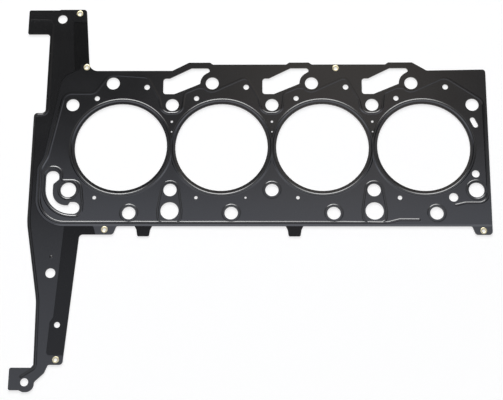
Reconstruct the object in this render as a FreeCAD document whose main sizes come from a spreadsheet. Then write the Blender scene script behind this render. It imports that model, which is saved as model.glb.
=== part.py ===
import FreeCAD, Part
import math
import os

# Cylinder head gasket of embossed sheet steel for a four-cylinder engine, with a timing case wing at its
# left. Frame: x to the right along the row of bores, y to the back, z up, in millimetres. The origin is the
# middle of the bore row, on the flat underside of the lower sheets, whose free beads stand below it.

# Names and values of the driving dimensions, in groups. An x named "from the bolt line" counts from the line
# through a pair of head bolt holes, a wing x counts to the left from the leftmost pair, and y counts from the
# bore line.
DIMENSIONS = [
    # sheets
    ("sheet_thickness", 0.25),
    ("carrier_thickness", 0.6),
    ("stopper_thickness", 0.1),
    ("joint_gap", 0.4),
    # beads: height, half of the width, and how far the centre line stands off a hole's wall or a sheet's edge.
    # A boss is the raised flat about a hole: its margin is the flat's width, its slope the width of its side.
    ("bead_height", 0.3),
    ("bead_crest_half", 0.35),
    ("bore_bead_half", 1.75),
    ("line_bead_half", 1.4),
    ("edge_bead_half", 1.7),
    ("bore_bead_margin", 4.1),
    ("hole_bead_margin", 2.4),
    ("edge_bead_margin", 3.5),
    ("wing_bead_margin", 2.0),
    ("slot_bead_margin", 2.4),
    ("dowel_bead_half", 1.2),
    ("dowel_bead_margin", 1.9),
    ("boss_margin", 1.8),
    ("boss_slope", 1.0),
    ("stopper_width", 1.6),
    ("stopper_fit", 0.25),
    # cylinder bores and head bolts
    ("bore_pitch", 96.0),
    ("bore_radius", 44.0),
    ("bolt_row", 43.0),
    ("bolt_radius", 6.25),
    ("dowel_radius", 7.3),
    # holes repeated at each bore, x from the bore's centre
    ("back_hole_x", -9.8),
    ("back_hole_y", 65.5),
    ("back_hole_radius", 6.3),
    ("vent_x", 23.1),
    ("vent_y", 61.5),
    ("vent_radius", 2.7),
    ("jet_x", -24.7),
    ("jet_y", 49.8),
    ("jet_radius", 2.5),
    ("front_hole_x", 9.9),
    ("front_hole_y", 65.7),
    ("front_hole_radius", 6.3),
    # small holes in the webs between the bores
    ("web_hole_y", 25.8),
    ("web_hole_radius", 1.2),
    ("web_drill_y", 15.5),
    ("web_drill_radius", 0.75),
    # oil return holes below the second and fourth bolt lines
    ("return_y", 63.5),
    ("return_radius", 8.5),
    # metering holes along the front, x from the middle of the bore row
    ("meter_y", 50.6),
    ("meter_1_x", -167.2),
    ("meter_1_radius", 1.75),
    ("meter_2_x", -71.4),
    ("meter_2_radius", 1.6),
    ("meter_3_x", -24.8),
    ("meter_3_radius", 1.05),
    ("meter_4_x", 24.4),
    ("meter_4_radius", 1.7),
    ("meter_5_x", 120.0),
    ("meter_5_radius", 2.1),
    # right end, x from the rightmost bolt line
    ("drain_x", -21.8),
    ("drain_y", 50.2),
    ("drain_radius", 4.25),
    ("feed_y", 27.0),
    ("feed_radius", 3.6),
    ("slot_x", 0.9),
    ("slot_y", 24.8),
    ("slot_length", 6.2),
    ("slot_radius", 2.4),
    ("slot_angle", 115.0),
    ("slot_round_share", 0.98),
    # coolant window, x from the bolt line
    ("window_left", -9.2),
    ("window_bottom", 54.3),
    ("window_shoulder", 70.6),
    ("window_rise_x", -3.0),
    ("window_top_x", 17.9),
    ("window_top", 81.3),
    ("window_right", 35.5),
    ("window_hook", 77.6),
    ("window_wall", 5.3),
    ("window_heel_x", 1.9),
    ("window_toe", 65.0),
    ("window_corner", 2.8),
    ("window_wall_turn", 60.0),
    # curved oil slot about the left dowel hole, x from the leftmost bolt line
    ("oil_left", 21.6),
    ("oil_right", 9.2),
    ("oil_top", 24.2),
    ("oil_neck", 32.5),
    ("oil_neck_slope", 0.9),
    ("oil_wall", 14.7),
    ("oil_floor", 58.1),
    ("oil_step_x", 0.2),
    ("oil_roof", 54.9),
    ("oil_end", 11.3),
    ("oil_bottom", 66.6),
    ("oil_lobe_radius", 5.8),
    ("oil_outer_radius", 25.5),
    ("oil_inner_radius", 13.0),
    # edge of the bore part
    ("back_edge", 78.7),
    ("back_edge_right", 79.7),
    ("back_step", 85.2),
    ("hump_top", 87.3),
    ("hump_start", 13.9),
    ("hump_end", 38.6),
    ("hump_slope", 2.8),
    ("first_ramp_start", -0.9),
    ("first_ramp_end", 15.3),
    ("last_hump_end", 39.9),
    ("last_ramp_end", 53.9),
    ("front_edge", 78.5),
    ("right_back", 14.5),
    ("right_front", 12.8),
    ("edge_corner", 3.0),
    ("small_corner", 1.8),
    # ears with an eyelet in them
    ("ear_depth", 8.2),
    ("ear_corner", 3.4),
    ("ear_slope", 3.2),
    ("right_ear_left", -2.7),
    ("front_ear_left", 25.2),
    ("front_ear_right", 43.7),
    # wing, x to the left of the leftmost bolt line
    ("tab_left", 48.0),
    ("tab_top", 143.9),
    ("tab_bottom", 117.9),
    ("arm_top", 144.5),
    ("arm_step", 17.8),
    ("arm_left", 26.1),
    ("arm_right_top", -8.9),
    ("arm_right_foot", -14.6),
    ("arm_fillet", 8.6),
    ("shoulder_y", 34.9),
    ("shoulder_corner", 3.6),
    ("wing_left", 37.1),
    ("wing_knee", 75.5),
    ("leg_knee", 149.5),
    ("leg_left_knee", 24.2),
    ("leg_left_foot", 23.2),
    ("leg_bend", 60.0),
    ("leg_bottom", 208.8),
    ("leg_right_top", -12.5),
    ("leg_right_foot", -3.0),
    ("foot_top", 211.4),
    ("foot_left", 44.8),
    ("foot_bottom", 231.7),
    ("foot_notch", 25.4),
    ("foot_round_left", 31.6),
    ("foot_round_end", 35.4),
    ("foot_round_bottom", 233.4),
    ("foot_right", 21.7),
    ("foot_right_y", 224.4),
    ("foot_ankle_x", 13.2),
    ("foot_ankle_y", 216.4),
    ("foot_instep_x", 10.0),
    # holes of the wing, x to the left of the leftmost bolt line
    ("arm_hole_x", 14.6),
    ("arm_hole_y", 134.1),
    ("arm_hole_radius", 4.6),
    ("leg_hole_x", 12.5),
    ("leg_hole_y", -123.7),
    ("leg_hole_radius", 4.6),
    ("pin_hole_x", 3.7),
    ("pin_hole_y", -172.2),
    ("pin_hole_radius", 2.7),
    ("foot_hole_x", 30.4),
    ("foot_hole_y", -224.5),
    ("foot_hole_radius", 3.65),
    ("clinch_x", 12.7),
    ("clinch_y", -108.3),
    ("clinch_radius", 1.8),
    # line where the bore sheet meets the wing sheet, x to the left of the leftmost bolt line
    ("joint_ear_left", -5.8),
    ("joint_ear_top", 86.2),
    ("joint_ear_bottom", 80.7),
    ("joint_arm_x", 11.6),
    ("joint_arm_y", 72.4),
    ("joint_arm_radius", 14.0),
    ("joint_bend_x", 25.0),
    ("joint_bend_y", 10.0),
    ("joint_left", 30.5),
    ("joint_left_y", 21.0),
    ("joint_bend_radius", 10.0),
    ("joint_front_radius", 27.8),
    # bare strips of the carrier beside the wing sheet, x to the left of the leftmost bolt line
    ("arm_strip_top", 131.0),
    ("arm_strip_left_top", 4.0),
    ("arm_strip_left_foot", 0.0),
    ("leg_strip_left_top", 2.0),
    ("leg_strip_left_knee", 7.6),
    ("leg_strip_knee", 165.0),
    ("leg_strip_left_foot", 12.3),
    ("leg_strip_step", 5.0),
    ("leg_strip_bottom", 200.2),
    # thickness tabs of the carrier, x from the middle of the bore row
    ("tag_1_x", -120.0),
    ("tag_2_x", 21.1),
    ("tag_top_half", 8.2),
    ("tag_neck_half", 6.4),
    ("tag_end_half", 5.5),
    ("tag_neck", 3.6),
    ("tag_depth", 9.8),
    ("tag_corner", 1.6),
    # eyelets
    ("eyelet_bore", 1.55),
    ("eyelet_barrel", 2.1),
    ("eyelet_head", 3.2),
    ("eyelet_flange", 0.28),
    ("eyelet_fit", 0.05),
    ("eyelet_arm_x", -2.2),
    ("eyelet_arm_y", 140.2),
    ("eyelet_joint_x", -11.7),
    ("eyelet_joint_y", 82.5),
    ("eyelet_front_x", -35.6),
    ("eyelet_front_y", -82.0),
    ("eyelet_leg_x", 3.3),
    ("eyelet_leg_y", -204.3),
    ("eyelet_back_x", 61.8),
    ("eyelet_back_y", 81.3),
    ("eyelet_right_x", 4.5),
    ("eyelet_right_y", -82.9),
    # shape of the bead routes: lengths, and shares of the turn that a route makes about a hole
    ("oil_top_margin", 3.9),
    ("oil_notch_radius", 2.5),
    ("oil_toe_share", 0.8),
    ("return_bolt_margin", 2.0),
    ("return_hole_margin", 2.8),
    ("return_shoulder_x", 0.85),
    ("return_shoulder_share", 0.95),
    ("return_waist_radius", 20.0),
    ("return_toe_share", 0.5),
    ("vent_crest_rise", 2.05),
    ("cup_lip_x", 0.84),
    ("cup_lip_y", 0.56),
    ("cup_floor_x", 0.3),
    ("cup_floor_y", 1.2),
    ("front_line_end", 41.0),
    ("front_step_start", 12.6),
    ("front_step_end", 23.0),
    ("front_step", 2.7),
    ("bolt_side_y", 0.75),
    ("bolt_floor_x", 1.1),
    ("tab_bead_turn", 6.0),
    # how far a punch reaches past both faces
    ("punch_reach", 4.0),
]

BORES = range(4)
BOLT_LINES = range(-2, 3)
WEBS = range(-1, 2)
UP = FreeCAD.Vector(0, 0, 1)
CARRIER_TOP = "Sizes.sheet_thickness + Sizes.carrier_thickness"
STACK_TOP = "2 * Sizes.sheet_thickness + Sizes.carrier_thickness"
LOWER_STOPPER = "Sizes.sheet_thickness - Sizes.stopper_thickness"
PUNCH_FLOOR = "-Sizes.punch_reach"
PUNCH_LENGTH = "2 * Sizes.punch_reach"
TOUCHING = 1e-6
# how far an area that only clips the sheets reaches past their outline
CLIP_REACH = 60.0

doc = FreeCAD.newDocument("head_gasket")
s = doc.addObject("Spreadsheet::Sheet", "Sizes")
for row, (alias, value) in enumerate(DIMENSIONS, start=1):
    s.set("A%d" % row, alias)
    s.set("B%d" % row, str(value))
    s.setAlias("B%d" % row, alias)
doc.recompute()


# Places that several pieces share


def bore_x(number):
    """Centre of a cylinder bore, counted from the left."""
    return (number - 1.5) * s.bore_pitch


def bolt_x(number):
    """A line through a pair of head bolt holes, counted from the middle one."""
    return number * s.bore_pitch


def wing_x(distance):
    """A place to the left of the leftmost bolt line."""
    return bolt_x(-2) - distance


def right_x(distance):
    """A place to the right of the rightmost bolt line."""
    return bolt_x(2) + distance


def carrier_top():
    return s.sheet_thickness + s.carrier_thickness


def stack_top():
    return carrier_top() + s.sheet_thickness


# Lines with rounded corners


def trace(corners, closed=True):
    """Straight runs and tangent turns through corners (x, y, radius)."""
    points = [FreeCAD.Vector(x, y, 0) for x, y, _ in corners]
    count = len(points)
    turning = range(count) if closed else range(1, count - 1)
    turns = {}
    for i in turning:
        radius = corners[i][2]
        if radius == 0:
            continue
        to_last = (points[i - 1] - points[i]).normalize()
        to_next = (points[(i + 1) % count] - points[i]).normalize()
        half = to_last.getAngle(to_next) / 2
        start = points[i] + to_last * (radius / math.tan(half))
        end = points[i] + to_next * (radius / math.tan(half))
        centre = points[i] + (to_last + to_next).normalize() * (radius / math.sin(half))
        left_hand = to_next.cross(to_last).z > 0
        degrees = math.degrees(math.pi - 2 * half) * (1 if left_hand else -1)
        turns[i] = (start, end, centre, degrees, to_last * -1)
    steps = []
    for i in range(count if closed else count - 1):
        following = (i + 1) % count
        start = turns[i][1] if i in turns else points[i]
        end = turns[following][0] if following in turns else points[following]
        if (end - start).Length > TOUCHING:
            steps.append(("run", start, end, None, None))
        if following in turns:
            start, end, centre, degrees, along = turns[following]
            steps.append(("turn", start, centre, degrees, along))
    return steps


def loop_geometry(corners):
    """Sketch geometry of a closed outline."""
    geometry = []
    for kind, start, other, degrees, _ in trace(corners):
        if kind == "run":
            geometry.append(Part.LineSegment(start, other))
            continue
        arm = start - other
        middle = FreeCAD.Rotation(UP, degrees / 2).multVec(arm)
        end = FreeCAD.Rotation(UP, degrees).multVec(arm)
        geometry.append(Part.Arc(start, other + middle, other + end))
    return geometry


# Outlines, as corners (x, y, radius)


def outer_corners():
    """Edge that the carrier and the sheets share, clockwise from the wing's upper tab."""
    small = s.small_corner
    edge = s.edge_corner
    ear_bottom = -s.front_edge - s.ear_depth
    corners = [
        (wing_x(s.tab_left), s.tab_top, small),
        (wing_x(s.arm_step), s.tab_top, 0),
        (wing_x(s.arm_step) + s.arm_top - s.tab_top, s.arm_top, 0),
        (wing_x(s.arm_right_top), s.arm_top, edge),
        (wing_x(s.arm_right_foot), s.back_edge, s.arm_fillet),
        (bolt_x(-1) + s.first_ramp_start, s.back_edge, edge),
        (bolt_x(-1) + s.first_ramp_end, s.hump_top, edge),
    ]
    for line in WEBS:
        if line > WEBS[0]:
            corners.append((bolt_x(line) + s.hump_start, s.back_step, small))
            corners.append((bolt_x(line) + s.hump_start + s.hump_slope, s.hump_top, small))
        if line < WEBS[-1]:
            corners.append((bolt_x(line) + s.hump_end - s.hump_slope, s.hump_top, small))
            corners.append((bolt_x(line) + s.hump_end, s.back_step, small))
    corners += [
        (bolt_x(1) + s.last_hump_end, s.hump_top, edge),
        (bolt_x(1) + s.last_ramp_end, s.back_edge, edge),
        (right_x(s.right_back), s.back_edge_right, edge),
        (right_x(s.right_front), ear_bottom, s.ear_corner),
        (right_x(s.right_ear_left), ear_bottom, s.ear_corner),
        (right_x(s.right_ear_left - s.ear_slope), -s.front_edge, small),
        (wing_x(-s.front_ear_right - s.ear_slope), -s.front_edge, small),
        (wing_x(-s.front_ear_right), ear_bottom, s.ear_corner),
        (wing_x(s.leg_right_top), ear_bottom, s.ear_corner),
        (wing_x(s.leg_right_foot), -s.leg_bottom, s.ear_corner),
        (wing_x(s.foot_instep_x), -s.leg_bottom, small),
        (wing_x(s.foot_ankle_x), -s.foot_ankle_y, edge),
        (wing_x(s.foot_right), -s.foot_right_y, edge),
        (wing_x(s.foot_right), -s.foot_round_bottom, s.foot_round_bottom - s.foot_right_y - small),
        (wing_x(s.foot_round_left), -s.foot_round_bottom, small),
        (wing_x(s.foot_round_end), -s.foot_bottom, small),
        (wing_x(s.foot_left), -s.foot_bottom, small),
        (wing_x(s.foot_left), -s.foot_top, small),
        (wing_x(s.foot_notch), -s.foot_top, 0),
        (wing_x(s.leg_left_foot), -s.leg_bottom, 0),
        (wing_x(s.leg_left_knee), -s.leg_knee, s.leg_bend),
        (wing_x(s.wing_left), -s.wing_knee, s.leg_bend),
        (wing_x(s.wing_left), s.shoulder_y, s.shoulder_corner),
        (wing_x(s.arm_left), s.shoulder_y, s.shoulder_corner),
        (wing_x(s.arm_left), s.tab_bottom, edge),
        (wing_x(s.tab_left), s.tab_bottom, small),
    ]
    return corners


def tag_corners(centre):
    """A thickness tab that hangs from the front edge."""
    edge = -s.front_edge
    profile = [
        (s.tag_top_half, edge + s.edge_corner, 0),
        (s.tag_top_half, edge, 0),
        (s.tag_neck_half, edge - s.tag_neck, s.tag_corner),
        (s.tag_end_half, edge - s.tag_depth, s.tag_corner),
    ]
    right = [(centre + x, y, radius) for x, y, radius in profile]
    left = [(centre - x, y, radius) for x, y, radius in reversed(profile)]
    return right + left


def window_corners(line):
    """Coolant window beside a back hole, which its right wall goes round."""
    hole = s.bore_pitch / 2 + s.back_hole_x
    wall_radius = s.back_hole_radius + s.window_wall
    wall_x = hole - wall_radius
    wall_top = s.back_hole_y + wall_radius * math.tan(math.radians(s.window_wall_turn / 2))
    corner = s.window_corner
    corners = [
        (s.window_left, s.window_bottom, corner),
        (s.window_left, s.window_shoulder, corner),
        (s.window_rise_x, s.window_shoulder, corner),
        (s.window_top_x, s.window_top, corner),
        (s.window_right, s.window_top, corner),
        (s.window_right, s.window_hook, corner / 2),
        (wall_x, wall_top, wall_radius),
        (wall_x, s.window_toe, corner / 2),
        (s.window_heel_x, s.window_bottom, corner),
    ]
    return [(bolt_x(line) + x, y, radius) for x, y, radius in corners]


def oil_slot_corners():
    """Curved slot that runs down and round below the left dowel hole."""
    lobe = s.oil_lobe_radius
    neck_corner = lobe / 3
    neck_foot = s.oil_neck + (s.oil_wall - s.oil_right) * s.oil_neck_slope
    return [
        (wing_x(s.oil_left), -s.oil_top, lobe),
        (wing_x(s.oil_right), -s.oil_top, lobe),
        (wing_x(s.oil_right), -s.oil_neck, neck_corner),
        (wing_x(s.oil_wall), -neck_foot, neck_corner),
        (wing_x(s.oil_wall), -s.oil_floor, s.oil_inner_radius),
        (wing_x(-s.oil_step_x), -s.oil_floor, 0),
        (wing_x(-s.oil_step_x - neck_corner), -s.oil_roof, 0),
        (wing_x(-s.oil_end), -s.oil_roof, lobe),
        (wing_x(-s.oil_end), -s.oil_bottom, lobe),
        (wing_x(s.oil_left), -s.oil_bottom, s.oil_outer_radius),
    ]


def slanted_slot_corners():
    """Round-ended slot at the right end."""
    angle = math.radians(s.slot_angle)
    along = FreeCAD.Vector(math.cos(angle), math.sin(angle), 0) * (s.slot_length / 2 + s.slot_radius)
    across = FreeCAD.Vector(-math.sin(angle), math.cos(angle), 0) * s.slot_radius
    centre = FreeCAD.Vector(right_x(s.slot_x), s.slot_y, 0)
    ends = (centre + along, centre - along)
    places = [ends[0] + across, ends[0] - across, ends[1] - across, ends[1] + across]
    # the corner rounds stop just short of each other, so that the end keeps a short flat
    radius = s.slot_radius * s.slot_round_share
    return [(place.x, place.y, radius) for place in places]


def joint_corners():
    """Line where the bore sheet meets the wing sheet, from the ear at the back to the ear at the front."""
    return [
        (wing_x(-CLIP_REACH), s.joint_ear_top, 0),
        (wing_x(s.joint_ear_left), s.joint_ear_top, s.small_corner),
        (wing_x(s.joint_ear_left), s.joint_ear_bottom, s.small_corner),
        (wing_x(s.joint_arm_x), s.joint_arm_y, s.joint_arm_radius),
        (wing_x(s.joint_bend_x), -s.joint_bend_y, s.joint_bend_radius),
        (wing_x(s.joint_left), -s.joint_left_y, s.joint_bend_radius),
        (wing_x(s.joint_left), -s.front_edge, s.joint_front_radius),
        (wing_x(-s.front_ear_left), -s.front_edge, s.small_corner),
        (wing_x(-s.front_ear_left - s.ear_corner), -s.front_edge - s.ear_depth - s.ear_corner, 0),
    ]


def bore_side_corners():
    """Area to the right of the joint line."""
    last = joint_corners()[-1]
    far_right = right_x(CLIP_REACH)
    far_front = -s.front_edge - CLIP_REACH
    return joint_corners() + [
        (last[0], far_front, 0),
        (far_right, far_front, 0),
        (far_right, s.joint_ear_top + CLIP_REACH, 0),
        (wing_x(-CLIP_REACH), s.joint_ear_top + CLIP_REACH, 0),
    ]


def arm_strip_corners():
    """Bare strip of the carrier along the upper arm."""
    return [
        (wing_x(s.arm_strip_left_top), s.arm_strip_top, s.small_corner),
        (wing_x(-CLIP_REACH), s.arm_strip_top, 0),
        (wing_x(-CLIP_REACH), s.joint_ear_bottom - s.edge_corner, 0),
        (wing_x(s.arm_strip_left_foot), s.joint_ear_bottom - s.edge_corner, 0),
    ]


def leg_strip_corners():
    """Bare strip of the carrier along the lower arm, which widens at the pin hole."""
    return [
        (wing_x(s.leg_strip_left_top), -s.front_edge + s.edge_corner, 0),
        (wing_x(-CLIP_REACH), -s.front_edge + s.edge_corner, 0),
        (wing_x(-CLIP_REACH), -s.leg_strip_bottom, 0),
        (wing_x(s.leg_strip_left_foot), -s.leg_strip_bottom, s.edge_corner),
        (wing_x(s.leg_strip_left_knee) - s.edge_corner, -s.leg_strip_knee - s.leg_strip_step, s.small_corner),
        (wing_x(s.leg_strip_left_knee), -s.leg_strip_knee, s.small_corner),
    ]


# Bead routes, as corners (x, y, radius) of a bead's centre line


def perimeter_route():
    """Front edge, round the lower left corner, up along the joint line and over the first back hole."""
    margin = s.edge_bead_margin
    line = -s.front_edge + margin
    raised = line + s.front_step
    turn = s.hole_bead_margin + s.bolt_radius
    over_x, over_y = first_hole_crest()
    reach = s.back_hole_radius + s.hole_bead_margin
    return [
        (bolt_x(1) + s.front_line_end, raised, 0),
        (bolt_x(1) + s.front_step_end, raised, s.edge_corner),
        (bolt_x(1) + s.front_step_start, line, s.edge_corner),
        (wing_x(s.joint_left) + margin, line, s.joint_front_radius - margin),
        (wing_x(s.joint_left) + margin, -s.joint_left_y, s.joint_bend_radius),
        (wing_x(s.joint_bend_x) + margin, -s.joint_bend_y, s.joint_bend_radius + margin),
        (wing_x(turn), s.bolt_row + turn + margin, turn),
        (wing_x(0) + turn * 2 + margin, s.bolt_row + turn + margin, turn),
        (over_x - reach, over_y, reach),
        (over_x, over_y, 0),
    ]


def first_hole_crest():
    """Point over the first back hole where the front route and the first back route meet."""
    reach = s.back_hole_radius + s.hole_bead_margin
    return bore_x(0) + s.back_hole_x + reach / 2, s.back_hole_y + reach


def oil_slot_route():
    """Closed loop round the curved oil slot and over the left dowel hole, with a notch between them."""
    margin = s.slot_bead_margin
    turn = s.oil_lobe_radius + margin
    ring = s.dowel_radius + s.dowel_bead_margin
    left = wing_x(s.oil_left) - margin
    lobe_right = wing_x(s.oil_right) + margin
    right = wing_x(-s.oil_end) + margin
    top = -s.oil_top + s.oil_top_margin
    bottom = -s.oil_bottom - margin
    return [
        (left, top, turn),
        (lobe_right, top, turn),
        (lobe_right, -s.bolt_row + ring, s.oil_notch_radius),
        (wing_x(-ring) + s.small_corner, -s.bolt_row + ring, ring),
        (right, -s.oil_roof, s.oil_outer_radius),
        (right, bottom, turn * s.oil_toe_share),
        (left, bottom, s.oil_outer_radius + margin),
    ]


def return_route(line):
    """Closed loop round a bolt hole and the oil return hole in front of it, down to the front bead."""
    bolt = s.bolt_radius + s.return_bolt_margin
    hole = s.return_radius + s.return_hole_margin
    front = -s.front_edge + s.edge_bead_margin
    top = -s.bolt_row + bolt
    shoulder = bolt * s.return_shoulder_x
    shoulder_radius = bolt * s.return_shoulder_share
    toe_radius = hole * s.return_toe_share
    corners = [
        (-shoulder, top, shoulder_radius),
        (shoulder, top, shoulder_radius),
        (hole, -s.return_y, s.return_waist_radius),
        (hole - s.small_corner / 2, front, toe_radius),
        (-hole + s.small_corner / 2, front, toe_radius),
        (-hole, -s.return_y, s.return_waist_radius),
    ]
    return [(bolt_x(line) + x, y, radius) for x, y, radius in corners]


def cup_route(line):
    """Start of a back route: in from the left and round below a back hole."""
    hole = bolt_x(line) - s.bore_pitch / 2 + s.back_hole_x
    reach = s.back_hole_radius + s.hole_bead_margin
    lip = s.back_hole_y - reach * s.cup_lip_y
    return [
        (hole - reach - s.small_corner / 2, lip, 0),
        (hole - reach * s.cup_lip_x, lip, s.small_corner),
        (hole - reach * s.cup_floor_x, s.back_hole_y - reach * s.cup_floor_y, reach),
    ]


def vent_crest(line):
    """Point over a vent hole that a back route bends about."""
    vent = bolt_x(line) - s.bore_pitch / 2 + s.vent_x
    turn = s.vent_radius + s.hole_bead_margin
    return (vent, s.vent_y + turn * s.vent_crest_rise, turn)


def window_route(line):
    """From the vent's crest under the bolt hole and along the window to the next back hole."""
    bolt = s.bolt_radius + s.hole_bead_margin
    reach = s.back_hole_radius + s.hole_bead_margin
    floor = bolt * s.bolt_floor_x
    next_hole = s.bore_pitch / 2 + s.back_hole_x
    corners = [
        (s.window_left - s.edge_bead_margin, s.bolt_row + bolt * s.bolt_side_y, bolt),
        (-floor, s.bolt_row - bolt, bolt),
        (floor, s.bolt_row - bolt, bolt),
        (-s.window_left + s.hole_bead_margin, s.window_bottom + s.small_corner / 2, bolt / 2),
        (s.window_toe - s.bolt_row + s.edge_corner, s.back_hole_y - reach / 2, bolt),
        (next_hole - reach - s.small_corner / 2, s.back_hole_y - reach * s.cup_lip_y, 0),
    ]
    return [(bolt_x(line) + x, y, radius) for x, y, radius in corners]


def back_route(line):
    """From one back hole to the next."""
    return cup_route(line) + [vent_crest(line)] + window_route(line)


def first_back_route(line):
    """The leftmost back route comes over the first back hole."""
    x, y = first_hole_crest()
    return [(x, y, 0), vent_crest(line)] + window_route(line)


def right_route(line):
    """From the last back hole to the right edge, down beside it and in below the right dowel hole."""
    x, y, radius = vent_crest(line)
    bolt = s.bolt_radius + s.hole_bead_margin
    edge = right_x(s.right_front) - s.slot_bead_margin
    below = -s.bolt_row - s.dowel_radius - s.edge_bead_margin - s.dowel_bead_margin
    return cup_route(line) + [
        (x, y, radius * 2),
        (edge, s.bolt_row + bolt / 2, bolt),
        (edge, below, bolt),
        (right_x(-s.dowel_radius - s.edge_bead_margin), below, bolt),
        (right_x(s.drain_x + s.small_corner), -s.drain_y - s.drain_radius - s.edge_bead_margin, 0),
    ]


def wing_route():
    """Along the wing's left edge, from the upper tab to the foot."""
    margin = s.wing_bead_margin
    tab = (s.tab_top + s.tab_bottom) / 2
    return [
        (wing_x(s.tab_left) + margin, tab + s.small_corner, 0),
        (wing_x(s.arm_left) + margin, tab + s.small_corner, s.tab_bead_turn),
        (wing_x(s.arm_left) + margin, s.shoulder_y - margin, s.shoulder_corner + margin),
        (wing_x(s.wing_left) + margin, s.shoulder_y - margin, s.shoulder_corner - margin / 2),
        (wing_x(s.wing_left) + margin, -s.wing_knee, s.leg_bend),
        (wing_x(s.leg_left_knee) + margin, -s.leg_knee, s.leg_bend),
        (wing_x(s.leg_left_foot) + margin, -s.foot_top, s.edge_corner + margin),
        (wing_x(s.foot_round_left) - margin, -s.foot_ankle_y - margin * 1.5, 0),
    ]


# Bead tooling: a low ridge swept along each route, with a skirt that reaches into the sheet


def ridge(place, along, half):
    """Section of a bead, square to its route."""
    side = FreeCAD.Vector(-along.y, along.x, 0)
    profile = [
        (-half, 0),
        (-s.bead_crest_half, s.bead_height),
        (s.bead_crest_half, s.bead_height),
        (half, 0),
        (half, -s.sheet_thickness / 2),
        (-half, -s.sheet_thickness / 2),
        (-half, 0),
    ]
    return Part.Face(Part.makePolygon([place + side * across + UP * height for across, height in profile]))


def bump(place, half, crest):
    """Round bead's end, a single dimple, or a raised boss about a hole."""
    profile = [
        (0, s.bead_height),
        (crest, s.bead_height),
        (half, 0),
        (half, -s.sheet_thickness / 2),
        (0, -s.sheet_thickness / 2),
        (0, s.bead_height),
    ]
    corners = [place + FreeCAD.Vector(0, radius, height) for radius, height in profile]
    return Part.Face(Part.makePolygon(corners)).revolve(place, UP, 360)


def lifted(corners):
    """Steps of a route on the upper face of the sheets."""
    lift = FreeCAD.Vector(0, 0, stack_top())
    steps = []
    for kind, start, other, degrees, along in trace(corners, closed=False):
        steps.append((kind, start + lift, other + lift, degrees, along))
    return steps


def bead(corners, half, closed=False):
    """Bead along a route. A closed route ends where it starts, in the middle of a run."""
    if closed:
        first, last = corners[0], corners[-1]
        seam = ((first[0] + last[0]) / 2, (first[1] + last[1]) / 2, 0)
        corners = [seam] + corners + [seam]
    steps = lifted(corners)
    pieces = []
    for kind, start, other, degrees, along in steps:
        if kind == "run":
            pieces.append(ridge(start, (other - start).normalize(), half).extrude(other - start))
        else:
            pieces.append(ridge(start, along, half).revolve(other, UP, degrees))
    if not closed:
        crest = s.bead_crest_half
        pieces += [bump(steps[0][1], half, crest), bump(steps[-1][2], half, crest)]
    return pieces


def ring_bead(x, y, radius, half):
    """Round bead about a hole."""
    centre = FreeCAD.Vector(x, y, stack_top())
    section = ridge(centre + FreeCAD.Vector(radius, 0, 0), FreeCAD.Vector(0, 1, 0), half)
    return section.revolve(centre, UP, 360)


def bore_die(bore):
    """Bead about a bore with the land inside it, which lifts the sheet over the stopper."""
    centre = FreeCAD.Vector(bore_x(bore), 0, stack_top())
    land = s.bore_radius + s.stopper_width + s.stopper_fit
    crest = s.bore_radius + s.bore_bead_margin
    profile = [
        (0, -s.sheet_thickness / 2),
        (crest + s.bore_bead_half, -s.sheet_thickness / 2),
        (crest + s.bore_bead_half, 0),
        (crest + s.bead_crest_half, s.bead_height),
        (crest - s.bead_crest_half, s.bead_height),
        (crest - s.bore_bead_half, 0),
        (land, 0),
        (land, s.stopper_thickness),
        (0, s.stopper_thickness),
        (0, -s.sheet_thickness / 2),
    ]
    corners = [centre + FreeCAD.Vector(0, radius, height) for radius, height in profile]
    return Part.Face(Part.makePolygon(corners)).revolve(centre, UP, 360)


def bead_tooling():
    """All beads and lands of an upper sheet, as one solid die or a few."""
    pieces = [bore_die(bore) for bore in BORES]
    for line in (BOLT_LINES[0], BOLT_LINES[-1]):
        radius = s.dowel_radius + s.dowel_bead_margin
        pieces.append(ring_bead(bolt_x(line), -s.bolt_row, radius, s.dowel_bead_half))
    bosses = [(bore_x(bore) + s.front_hole_x, -s.front_hole_y, s.front_hole_radius) for bore in BORES]
    bosses.append((bolt_x(0), -s.bolt_row, s.bolt_radius))
    for x, y, radius in bosses:
        crest = radius + s.boss_margin
        pieces.append(bump(FreeCAD.Vector(x, y, stack_top()), crest + s.boss_slope, crest))
    clinch = FreeCAD.Vector(wing_x(s.clinch_x), s.clinch_y, stack_top())
    pieces.append(bump(clinch, s.clinch_radius, s.bead_crest_half))
    pieces += bead(perimeter_route(), s.edge_bead_half)
    pieces += bead(oil_slot_route(), s.line_bead_half, closed=True)
    for line in (WEBS[0], WEBS[-1]):
        pieces += bead(return_route(line), s.dowel_bead_half, closed=True)
    pieces += bead(first_back_route(WEBS[0]), s.line_bead_half)
    for line in WEBS[1:]:
        pieces += bead(back_route(line), s.line_bead_half)
    pieces += bead(right_route(BOLT_LINES[-1]), s.line_bead_half)
    pieces += bead(wing_route(), s.line_bead_half)
    return pieces[0].multiFuse(pieces[1:]).removeSplitter()


# Round holes, as expressions for x and y and the name of a radius


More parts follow.
